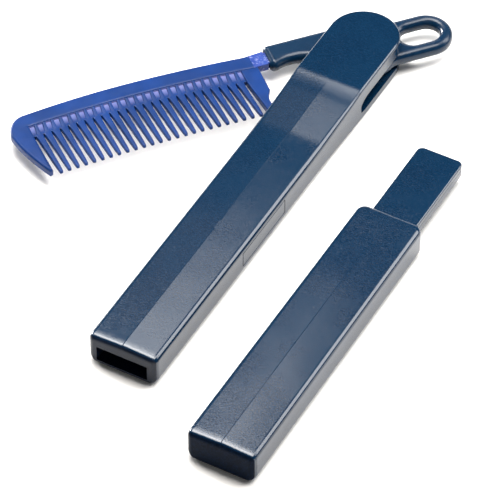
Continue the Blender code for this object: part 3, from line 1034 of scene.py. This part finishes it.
@dataclass
class ExtensionHandle(MouldedHandle):
    """The extension handle: a tapering block and the tongue that fits the case's socket."""

    ends: Pair = (-200.1 * MM, -74.9 * MM)
    half: float = 13.15 * MM
    far_half: float = 12.7 * MM
    roof_fade: Pair = (-120.0 * MM, -85.0 * MM)
    cut_runs: tuple[Run, ...] = ((-190.0, -82.0, 27),)
    centre_x: float = 51.2 * MM
    far_corner: float = 3.6 * MM
    tongue_half: float = 9.025 * MM
    tongue_z: Pair = (3.75 * MM, 9.25 * MM)
    tongue_end: float = -36.4 * MM
    tongue_corner: float = 2.4 * MM
    tongue_fillet: float = 0.6 * MM
    parting_z: Pair = (6.9 * MM, 7.15 * MM)
    parting_depth: float = 0.07 * MM

    def build(self, finish: Material, end_shade_finish: Material) -> Item:
        """Models the extension handle and dresses it.

        Args:
            finish: Its material.
            end_shade_finish: The material of its flat near end, darker to paint the shade there.

        Returns:
            The finished piece, riding on the handle body.
        """
        item = self.block("extension_shell")
        far_y, steps = self.ends[1], self.fillet_steps + 2
        rims = ((self.low_fillet, steps), (self.top_fillet, steps))
        with editing(item):
            taper = (self.far_half / self.half, 1.0, 1.0)
            scale_points(lambda p: p.y > far_y - NEAR, taper, (0.0, far_y, 0.0))
            self.round_far_end((self.far_corner, 10), rims)
            self.round_near_end()
            self.draw_tongue()
            self.part_tongue()
            self.raise_roof()
            self.shape_top()
            bpy.ops.mesh.select_all(action="SELECT")
            bpy.ops.transform.translate(value=(self.centre_x, 0.0, 0.0))
        self.mark_end(item)
        dress(item, finish, end_shade_finish)
        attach(item, "handle")
        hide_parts("extension_handle")
        return item

    def draw_tongue(self) -> None:
        """Draws the tongue out of the far end, and rounds it."""
        far_y, half = self.ends[1], self.tongue_half
        low, high = self.tongue_z

        def at_far_end(face: Face) -> bool:
            """Says whether a face is part of the flat far end."""
            return face.normal.y > 0.999 and face.calc_center_median().y > far_y - NEAR

        def at_root(face: Face) -> bool:
            """Says whether a face of the far end lies inside the tongue's section."""
            middle = face.calc_center_median()
            return at_far_end(face) and abs(middle.x) < half and low < middle.z < high

        cut(Axis.X, (-half, half), at_far_end)
        cut(Axis.Z, self.tongue_z, at_far_end)
        pick(Pick.FACES, at_root)
        bpy.ops.mesh.extrude_region_move(
            TRANSFORM_OT_translate={"value": (0.0, self.tongue_end - far_y, 0.0)}
        )
        bevel_edges(
            lambda edge: every(
                edge, lambda p: p.y > self.tongue_end - NEAR and abs(p.x) > half - NEAR
            )
            and span(edge, Axis.Z) > (high - low) / 2,
            self.tongue_corner,
            8,
        )
        bevel_edges(
            lambda edge: every(edge, lambda p: p.y > far_y - NEAR)
            and not every(edge, lambda p: p.y <= far_y + NEAR)
            and any(abs(face.normal.z) > 0.99 for face in edge.link_faces)
            and any(abs(face.normal.z) < 0.5 for face in edge.link_faces),
            self.tongue_fillet,
            4,
        )

    def part_tongue(self) -> None:
        """Lowers a fine parting line round the tongue."""
        far_y, (low, high) = self.ends[1], self.parting_z

        def on_side(face: Face) -> bool:
            """Says whether a face is part of the tongue's upright sides."""
            beyond = face.calc_center_median().y > far_y + NEAR
            return beyond and abs(face.normal.z) < 0.1 and every(face, lambda p: p.y > far_y - NEAR)

        def on_line(face: Face) -> bool:
            """Says whether a face of the tongue lies on the parting line."""
            middle = face.calc_center_median()
            return middle.y > far_y + NEAR and low < middle.z < high

        cut(Axis.Z, self.parting_z, on_side)
        pick(Pick.FACES, on_line)
        bpy.ops.mesh.extrude_region_shrink_fatten(
            TRANSFORM_OT_shrink_fatten={"value": -self.parting_depth}
        )


@dataclass
class LeverPiece:
    """What the arm and the comb share: the lever's own frame, and where it lies at rest."""

    angle: float = math.radians(229.7)
    level: float = 6.35 * MM
    arm_end: float = 35.3 * MM

    def place(self, item: Item) -> None:
        """Turns a piece from the lever's frame into the model's frame.

        Args:
            item: The piece.
        """
        turn = Matrix.Rotation(self.angle, 4, "Z")
        item.matrix_world = Matrix.Translation((0.0, 0.0, self.level)) @ turn
        settle(item)


@dataclass
class CombArm(LeverPiece):
    """The lever: boss on the pin, arm with a pocket in its end, and hanging loop."""

    thickness: float = 5.3 * MM
    fillet: float = 2.4 * MM
    # The radius of the boss in front and at the back, and of the end's corners at the back and in front.
    boss_radii: Pair = (13.1 * MM, 14.3 * MM)
    corner_radii: Pair = (2.4 * MM, 2.2 * MM)
    neck: PlanPoint = (27.0 * MM, -4.3 * MM)
    flare_radius: float = 12.0 * MM
    loop_half: float = 9.85 * MM
    loop_reach: float = 35.0 * MM
    loop_blend: float = 6.0 * MM
    hole_radius: float = 4.75 * MM
    hole_x: Pair = (-25.3 * MM, -19.7 * MM)
    bore: float = 3.3 * MM
    pocket_y: Pair = (-11.7 * MM, -5.1 * MM)
    pocket_height: float = 3.2 * MM
    pocket_depth: float = 8.3 * MM

    def blend_centre(self, radius: float) -> PlanPoint:
        """Centre of the round inner corner between the loop's side and a boss of a radius."""
        y = self.loop_half + self.loop_blend
        return (-math.sqrt((radius + self.loop_blend) ** 2 - y**2), y)

    def outline(self) -> list[PlanPoint]:
        """Draws the plan outline, counter-clockwise from the back of the arm's end.

        Returns:
            Its points.
        """
        pin = (0.0, 0.0)
        boss, back_boss = self.boss_radii
        neck_x, neck_y = self.neck
        neck_radius = (neck_x**2 + neck_y**2 - boss**2) / (2.0 * (boss - neck_y))
        neck_centre = (neck_x, neck_y + neck_radius)
        flare_centre = (neck_x, neck_y + self.flare_radius)
        end_centre = (-(self.loop_reach - self.loop_half), 0.0)
        back_radius, low_radius = self.corner_radii
        back_corner = (self.arm_end - back_radius, -back_boss + back_radius)
        low_x = self.arm_end - low_radius
        low_drop = math.sqrt((self.flare_radius + low_radius) ** 2 - (low_x - neck_x) ** 2)
        low_centre = (low_x, flare_centre[1] - low_drop)
        flare_end = direction(flare_centre, low_centre)
        front, back = self.blend_centre(boss), self.blend_centre(back_boss)
        boss_low = direction(pin, neck_centre)
        front_angle, back_angle = direction(pin, front), direction(pin, back)
        points = arc(back_corner, back_radius, -90.0, 0.0, 10)
        points += arc(low_centre, low_radius, 0.0, flare_end + 180.0, 10)
        points += arc(flare_centre, self.flare_radius, flare_end, -90.0, 8)[1:]
        points += arc(neck_centre, neck_radius, -90.0, boss_low - 180.0, 24)[1:]
        points += arc(pin, boss, boss_low, front_angle, 30)[1:]
        points += arc(front, self.loop_blend, front_angle - 180.0, -90.0, 12)[1:]
        points += arc(end_centre, self.loop_half, 90.0, 270.0, 56)
        points += arc((back[0], -back[1]), self.loop_blend, 90.0, 180.0 - back_angle, 12)
        points += arc(pin, back_boss, 360.0 - back_angle, 270.0, 14)[1:]
        return points

    def build(self, finish: Material) -> Item:
        """Models the lever and dresses it.

        Args:
            finish: Its material.

        Returns:
            The finished piece, riding on the lever body.
        """
        hole = arc((self.hole_x[1], 0.0), self.hole_radius, -90.0, 90.0, 32)
        hole += arc((self.hole_x[0], 0.0), self.hole_radius, 90.0, 270.0, 32)
        item = add_plate("arm_shell", [self.outline(), hole], self.thickness, self.fillet, 5)
        beyond = self.thickness
        combine(item, add_rod("bore_cutter", self.bore, -beyond, beyond), "DIFFERENCE")
        pocket = add_block(
            "pocket_cutter",
            (self.arm_end - self.pocket_depth, self.pocket_y[0], -self.pocket_height / 2),
            (self.arm_end + beyond, self.pocket_y[1], self.pocket_height / 2),
        )
        combine(item, pocket, "DIFFERENCE")
        self.place(item)
        dress(item, finish)
        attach(item, "lever")
        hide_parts("comb_arm")
        return item


@dataclass(frozen=True)
class Bow:
    """A shallow curve in plan: the place where it turns, and its radius there."""

    x: float
    y: float
    radius: float

    def at(self, x: float) -> float:
        """The curve's y at a place along the comb."""
        return self.y + (x - self.x) ** 2 / (2.0 * self.radius)


@dataclass
class RakeComb(LeverPiece):
    """The comb: thick back, thin web, tapered teeth, a guard tooth at each end, and the tang."""

    blade: Pair = (39.8 * MM, 136.2 * MM)
    end_y: float = -2.7 * MM
    near_spine: Bow = Bow(87.7 * MM, -13.6 * MM, 500.0 * MM)
    far_spine: Bow = Bow(87.7 * MM, -13.6 * MM, 330.0 * MM)
    spine_end: float = 123.7 * MM
    # The ridge between the thick back and the thin web, the gaps' roots, and the teeth's tips.
    ridge: Bow = Bow(84.7 * MM, -6.4 * MM, 480.0 * MM)
    roots: Bow = Bow(87.7 * MM, -1.75 * MM, 341.0 * MM)
    tips: Bow = Bow(65.7 * MM, 18.4 * MM, 757.0 * MM)
    far_corner: PlanPoint = (8.0 * MM, 1.0 * MM)
    corner_flat: float = 0.5 * MM
    ridge_stop: float = 4.5 * MM
    spine_thickness: float = 3.5 * MM
    spine_fillet: float = 0.9 * MM
    web_thickness: float = 1.8 * MM
    web_overlap: float = 1.5 * MM
    # How far the web and the bridge stop short of the blade's two ends.
    web_stops: Pair = (2.0 * MM, 3.0 * MM)
    bridge_stops: Pair = (2.5 * MM, 3.5 * MM)
    guard_thickness: float = 3.0 * MM
    guard_fillet: float = 0.5 * MM
    far_tip: PlanPoint = (128.8 * MM, 20.0 * MM)
    far_tip_flat: PlanPoint = (1.2 * MM, 0.6 * MM)
    far_rise: float = 0.8 * MM
    far_root: float = 2.5 * MM
    far_curve: float = 0.0684
    near_tip: PlanPoint = (43.1 * MM, 18.8 * MM)
    # Points round the near guard's tip, measured from it, and down its side, from the blade's end.
    near_round: tuple[PlanPoint, ...] = (
        (1.3 * MM, -0.8 * MM),
        (0.6 * MM, 0.0),
        (-0.5 * MM, -0.1 * MM),
        (-1.3 * MM, -1.2 * MM),
    )
    near_side: tuple[PlanPoint, ...] = ((2.0 * MM, 12.3 * MM), (1.5 * MM, 10.3 * MM), (0.0, 7.8 * MM))
    gaps: int = 26
    first_gap: float = 47.1 * MM
    pitch: float = 3.232 * MM
    root_half: float = 0.65 * MM
    lean: float = -1.6 * MM
    tang_y: Pair = (-12.0 * MM, -4.8 * MM)
    tang_thickness: float = 3.2 * MM
    tang_fillet: float = 0.25 * MM
    tang_overlap: PlanPoint = (3.0 * MM, 0.2 * MM)
    tang_mark: float = 41.2 * MM
    # Half the width and half the thickness of the tang where it fills the arm's pocket.
    pocket_fit: Pair = (3.0 * MM, 1.3 * MM)
    pocket_reach: float = 8.0 * MM
    bridge: float = 1.2 * MM
    bridge_thickness: float = 1.95 * MM
    bridge_fillet: float = 0.3 * MM
    # How far the plates reach into each other.
    overlap: float = 2.0 * MM
    tooth_length: float = 20.0 * MM
    tooth_corner: float = 0.2 * MM
    rib_lean: float = -0.2 * MM
    rib_reach: float = 1.0 * MM
    # The rib narrows at once to its waist, and then on to the ridge: shares of the width before.
    waist: float = 0.4 * MM
    waist_share: float = 0.65
    rib_share: float = 0.62
    # Share of the length, and width and thickness in millimetres, of a tooth's sections.
    TOOTH: ClassVar[tuple[tuple[float, float, float], ...]] = (
        (0.000, 2.96, 2.05),
        (0.070, 2.60, 2.04),
        (0.200, 2.30, 2.03),
        (0.450, 2.00, 2.00),
        (0.650, 1.80, 1.85),
        (0.850, 1.54, 1.65),
        (0.965, 1.30, 1.45),
        (0.978, 1.20, 1.32),
        (0.988, 0.99, 1.10),
        (0.995, 0.68, 0.80),
        (0.999, 0.36, 0.46),
        (1.000, 0.14, 0.20),
    )

    def spine_y(self, x: float) -> float:
        """The comb's back, which bends more beyond its top."""
        return (self.far_spine if x >= self.far_spine.x else self.near_spine).at(x)

    def along(self, rule: Callable[[float], float], start: float, end: float) -> list[PlanPoint]:
        """Points on the curve y = rule(x)."""
        return [(x, rule(x)) for x in steps_between(start, end, 48)]

    def spine_outline(self) -> list[PlanPoint]:
        """Draws the thick band along the comb's back, with its round far corner.

        Returns:
            Its points.
        """
        start, end = self.blade
        points = self.along(self.spine_y, start, self.spine_end)
        wide, rise = self.far_corner
        centre_y = self.end_y + rise
        drop = centre_y - self.spine_y(self.spine_end) - self.corner_flat
        for x, y in arc((0.0, 0.0), 1.0, -90.0, 0.0, 16)[1:]:
            points.append((end - wide + wide * x, centre_y + drop * y))
        return points + self.along(self.ridge.at, end - self.ridge_stop, start)

    def far_guard_outline(self) -> list[PlanPoint]:
        """Draws the guard tooth at the far end.

        Returns:
            Its points.
        """
        end, overlap = self.blade[1], self.overlap
        tip_x, tip_y = self.far_tip
        inner = self.first_gap + self.pitch * (self.gaps - 1) + self.root_half
        points = [(inner, self.ridge.at(inner) - overlap), (end - overlap, self.end_y - self.far_root)]
        for y in steps_between(self.end_y, tip_y - self.far_rise, 20):
            fall = max(y - self.end_y, 0.0) / MM
            points.append((end - self.far_curve * MM * fall**1.5, y))
        points += [self.far_tip, (tip_x - self.far_tip_flat[0], tip_y - self.far_tip_flat[1])]
        return points + [(inner, self.roots.at(inner))]

    def near_guard_outline(self) -> list[PlanPoint]:
        """Draws the end plate and guard tooth next to the arm.

        Returns:
            Its points.
        """
        start, (tip_x, tip_y) = self.blade[0], self.near_tip
        inner = self.first_gap - self.root_half
        points = [(inner, self.ridge.at(inner) - self.overlap), (inner, self.roots.at(inner))]
        points += [(tip_x + x, tip_y + y) for x, y in self.near_round]
        points += [(start + x, y) for x, y in self.near_side]
        return points + [(start, self.ridge.at(start) - self.overlap)]

    def web_outline(self) -> list[PlanPoint]:
        """Draws the thin web, from inside the back to the roots of the gaps.

        Returns:
            Its points.
        """
        first, last = self.blade[0] + self.web_stops[0], self.blade[1] - self.web_stops[1]
        points = self.along(lambda x: self.ridge.at(x) - self.web_overlap, first, last)
        return points + self.along(lambda x: self.roots.at(x) - self.bridge / 2, last, first)

    def bridge_outline(self) -> list[PlanPoint]:
        """Draws the band of full thickness that joins the teeth just above the gaps.

        Returns:
            Its points.
        """
        first, last = self.blade[0] + self.bridge_stops[0], self.blade[1] - self.bridge_stops[1]
        points = self.along(lambda x: self.roots.at(x) - self.bridge, first, last)
        return points + self.along(self.roots.at, last, first)

    def tang_outline(self) -> list[PlanPoint]:
        """Draws the bare stretch of the tang, between the arm's end and the blade.

        Returns:
            Its points.
        """
        start, end = self.arm_end + GAP, self.blade[0] + self.tang_overlap[0]
        back, low = self.tang_y
        far_back = self.spine_y(end) + self.tang_overlap[1]
        return [(start, back), (end, far_back), (end, low), (start, low)]

    def model_tooth(self) -> Item:
        """Models one tooth along +Y, from its root at y = 0 to its rounded tip.

        Returns:
            The tooth.
        """
        half, length = MM / 2, self.tooth_length
        item = add_block("tooth", (-half, 0.0, -half), (half, length, half))
        with editing(item):
            bevel_edges(lambda edge: span(edge, Axis.Y) > half, self.tooth_corner, 3)
            cut(Axis.Y, [share * length for share, _, _ in self.TOOTH[1:-1]])
            for share, width, thickness in self.TOOTH:
                level = share * length
                scale_points(
                    lambda p: abs(p.y - level) < NEAR / 4,
                    (width, 1.0, thickness),
                    (0.0, level, 0.0),
                )
        return item

    def rake(self) -> Item:
        """Copies the tooth into every place and makes the copies one object.

        Returns:
            All the teeth.
        """
        pattern = self.model_tooth()
        copies = []
        for index in range(self.gaps - 1):
            root_x = self.first_gap + self.pitch * (index + 0.5)
            root = self.roots.at(root_x)
            reach = self.tips.at(root_x + self.lean) - root
            tooth = pattern.copy()
            tooth.data = pattern.data.copy()
            bpy.context.scene.collection.objects.link(tooth)
            lean = Matrix.Identity(4)
            lean[0][1] = self.lean / reach
            stretch = Matrix.Diagonal((1.0, reach / self.tooth_length, 1.0, 1.0))
            tooth.data.transform(Matrix.Translation((root_x, root, 0.0)) @ lean @ stretch)
            self.add_rib(tooth, root_x, root)
            copies.append(tooth)
        bpy.data.objects.remove(pattern)
        make_active(copies[0])
        for tooth in copies:
            tooth.select_set(True)
        bpy.ops.object.join()
        return copies[0]

    def add_rib(self, tooth: Item, root_x: float, root: float) -> None:
        """Draws a tooth's root out into the narrow rib that runs up to the ridge.

        Args:
            tooth: The tooth.
            root_x: Where its root lies along the comb.
            root: Where its root lies across the comb.
        """
        ridge_x = root_x + self.rib_lean
        ridge = Vector((ridge_x, self.ridge.at(ridge_x) - self.rib_reach, 0.0))
        waist = Vector((root_x, root - self.waist, 0.0))
        thicker = self.guard_thickness / (self.TOOTH[0][2] * MM)
        last = Vector((root_x, root, 0.0))
        with editing(tooth):
            pick(Pick.FACES, lambda face: face.normal.y < -0.5)
            ends = ((waist, self.waist_share, 1.0), (ridge, self.rib_share, thicker))
            for end, share, deeper in ends:
                bpy.ops.mesh.extrude_region_move(TRANSFORM_OT_translate={"value": end - last})
                bpy.ops.transform.resize(value=(share, 1.0, deeper), center_override=end)
                last = end

    def build(self, finish: Material, thin_glow_finish: Material, tang_finish: Material) -> Item:
        """Models the comb and dresses it.

        Args:
            finish: The material of its thick parts.
            thin_glow_finish: The material of the thin recesses, with the light that comes through them
                painted in as a paler glow.
            tang_finish: The material of the tang, which is scuffed.

        Returns:
            The finished piece, riding on the lever body.
        """
        back = (self.spine_thickness, self.spine_fillet)
        item = add_plate("comb_blade", [self.spine_outline()], *back, 4)
        guard = (self.guard_thickness, self.guard_fillet)
        far_guard = (self.spine_thickness - NEAR, self.spine_fillet)
        middle = sum(self.tang_y) / 2
        half_y, half_z = self.pocket_fit
        tools = [
            add_plate("web", [self.web_outline()], self.web_thickness, 0.0, 0),
            add_plate("bridge", [self.bridge_outline()], self.bridge_thickness, self.bridge_fillet, 2),
            self.rake(),
            add_plate("near_guard", [self.near_guard_outline()], *guard, 3),
            add_plate("far_guard", [self.far_guard_outline()], *far_guard, 3),
            add_plate("tang", [self.tang_outline()], self.tang_thickness, self.tang_fillet, 3),
            add_block(
                "tang_end",
                (self.arm_end - self.pocket_reach, middle - half_y, -half_z),
                (self.blade[0], middle + half_y, half_z),
            ),
        ]
        for tool in tools:
            combine(item, tool, "UNION")
        with editing(item):
            cut(Axis.X, [self.tang_mark])
        self.mark_zones(item)
        self.note_recess(item)
        self.place(item)
        dress(item, finish, thin_glow_finish, tang_finish)
        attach(item, "lever")
        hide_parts("comb")
        return item

    def mark_zones(self, item: Item) -> None:
        """Gives the thin web and the step below the ridge, which carry the painted glow, and the tang
        their own material slots.

        Args:
            item: The comb.
        """
        half = self.web_thickness / 2
        for polygon in item.data.polygons:
            middle = polygon.center
            web = abs(abs(middle.z) - half) < NEAR and abs(polygon.normal.z) > 0.9
            inner = self.first_gap - self.pitch / 2 < middle.x < self.far_tip[0]
            step = polygon.normal.y > 0.8 and abs(middle.y - self.ridge.at(middle.x)) < half
            tang = middle.x < self.tang_mark and middle.y < self.tang_y[1] + NEAR
            # The second slot is the thin finish, whose paler colour is a painted glow.
            zone = Zone.THIRD if tang else Zone.SECOND if web or (step and inner) else Zone.MAIN
            polygon.material_index = zone.value

    def note_recess(self, item: Item) -> None:
        """Notes how far each point lies on the way from the ridge (0) to the gaps' roots (1).

        Args:
            item: The comb.
        """
        # The painted glow of the thin finish fades along this share.
        depth = item.data.attributes.new("recess", "FLOAT", "POINT")
        for point in item.data.vertices:
            x, y, _ = point.co
            ridge = self.ridge.at(x)
            depth.data[point.index].value = max((y - ridge) / (self.roots.at(x) - ridge), 0.0)


# The studio

# The middle of the lying object, which the lights that don't look straight down face.
MIDDLE: Point = (0.0, -0.1, 0.0)


@dataclass(frozen=True)
class SoftLight:
    """A soft box: its place, size in metres, watts, what it faces, colour and roll.

    One that faces nothing looks straight down.
    """

    name: str
    place: Point
    size: Pair
    power: float
    aim: Point | None = None
    colour: str = "#FFFFFF"
    roll: float = 0.0

    def add(self) -> None:
        """Adds the light to the scene."""
        data = bpy.data.lights.new(self.name, "AREA")
        data.shape = "RECTANGLE"
        data.size, data.size_y = self.size
        data.energy = self.power
        data.color = linear(self.colour)[:3]
        item = bpy.data.objects.new(self.name, data)
        bpy.context.scene.collection.objects.link(item)
        item.location = self.place
        aim = Vector(self.aim or (self.place[0], self.place[1], 0.0)) - Vector(self.place)
        turn = Quaternion((0.0, 0.0, 1.0), math.radians(self.roll))
        item.rotation_euler = (aim.to_track_quat("-Z", "Y") @ turn).to_euler()


@dataclass
class Studio:
    """The camera at the photograph's angle, the white floor and the soft lights."""

    camera_place: Point = (512.4 * MM, -1014.2 * MM, 1069.4 * MM)
    camera_aim: Point = (7.35 * MM, -103.0 * MM, 0.0)
    focal_pixels: float = 4206.0
    sensor: float = 36.0
    clip: Pair = (0.05, 50.0)
    floor_half: float = 3.0
    world: str = "#494B4D"
    lights: tuple[SoftLight, ...] = (
        SoftLight("overhead_box", (-0.255, 0.4, 0.75), (0.15, 0.14), 0.3),
        SoftLight("overhead_wing", (-0.4, 0.28, 0.75), (0.44, 0.12), 1.4),
        SoftLight("overhead_left", (-0.475, 0.49, 0.75), (0.29, 0.12), 0.07),
        SoftLight("seam_strip", (-0.04, 0.57, 0.75), (0.12, 0.14), 0.1),
        SoftLight("overhead_core", (-0.31, 0.14, 0.75), (0.42, 0.17), 1.2),
        SoftLight("back_right_box", (0.91, 1.03, 1.12), (1.5, 0.62), 25.0, MIDDLE, roll=52.6),
        SoftLight("top_fill", (-0.1, 0.095, 0.9), (1.1, 0.47), 19.0, colour="#FFFDFA"),
        SoftLight("front_fill", (0.67, -1.29, 1.39), (1.0, 0.8), 1.5, MIDDLE, "#FFFCF6"),
        SoftLight("left_low", (-1.4, 0.4, 0.28), (0.5, 0.25), 30.0, (-0.09, 0.03, 0.0)),
        SoftLight("back_strip", (-0.5, 1.4, 0.45), (0.7, 0.35), 2.3, MIDDLE),
    )

    def add_camera(self) -> None:
        """Adds the camera and makes it the scene's."""
        data = bpy.data.cameras.new("photo_camera")
        data.sensor_width = self.sensor
        data.lens = self.sensor * self.focal_pixels / PHOTO_PIXELS
        # The optical centre that was fitted lies half a pixel off the picture's middle.
        data.shift_x = -0.5 / PHOTO_PIXELS
        data.shift_y = 0.5 / PHOTO_PIXELS
        data.clip_start, data.clip_end = self.clip
        camera = bpy.data.objects.new("photo_camera", data)
        bpy.context.scene.collection.objects.link(camera)
        camera.location = self.camera_place
        aim = Vector(self.camera_aim) - Vector(self.camera_place)
        camera.rotation_euler = aim.to_track_quat("-Z", "Y").to_euler()
        bpy.context.scene.camera = camera

    def add_floor(self) -> None:
        """Lays the white sweep that everything rests on."""
        bpy.ops.mesh.primitive_plane_add(size=2.0 * self.floor_half, location=(0.0, 0.0, 0.0))
        floor = bpy.context.active_object
        floor.name = floor.data.name = "floor"
        floor.data.materials.append(SweepPaper().material())

    def build(self) -> None:
        """Adds the camera, the floor, the lights and the dim room around them."""
        self.add_camera()
        self.add_floor()
        for light in self.lights:
            light.add()
        world = bpy.data.worlds.new("dim_room")
        world.use_nodes = True
        feed(world.node_tree.nodes["Background"], {"Color": linear(self.world)})
        bpy.context.scene.world = world
        bpy.context.scene.view_settings.view_transform = "Standard"


def main() -> None:
    """Builds the studio and every sub-assembly, and reports each piece."""
    logging.basicConfig(level=logging.INFO, format="%(name)s: %(message)s")
    Studio().build()
    turn = -LeverPiece().angle
    # The ends get a duller finish of their own, and a darker colour that is painted shade.
    navy, end_navy_painted_shade = NavyAbs().material(), PaintedShadeEndNavyAbs().material()
    # The case's end and its socket's inside share one near-black colour, painted shade, with a little
    # more gloss.
    end_and_socket_shade_navy = PaintedShadeEndNavyAbs("navy_abs_end_and_socket_painted_shade", shine=0.2).material()
    arm_navy = NavyAbs("navy_abs_lever", roughness=(0.2, 0.27), shine=0.3, turn=turn).material()
    report(Case().build(navy, end_and_socket_shade_navy))
    report(ExtensionHandle().build(navy, end_navy_painted_shade))
    report(CombArm().build(arm_navy))
    blues = [finish(turn=turn).material() for finish in (CombNylon, ThinNylonPaintedGlow, ScuffedNylon)]
    report(RakeComb().build(*blues))
    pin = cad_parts["pivot_pin"]
    pin.data.materials.clear()
    pin.data.materials.append(PinSteel().material())
    report(pin)


if __name__ == "__main__":
    main()
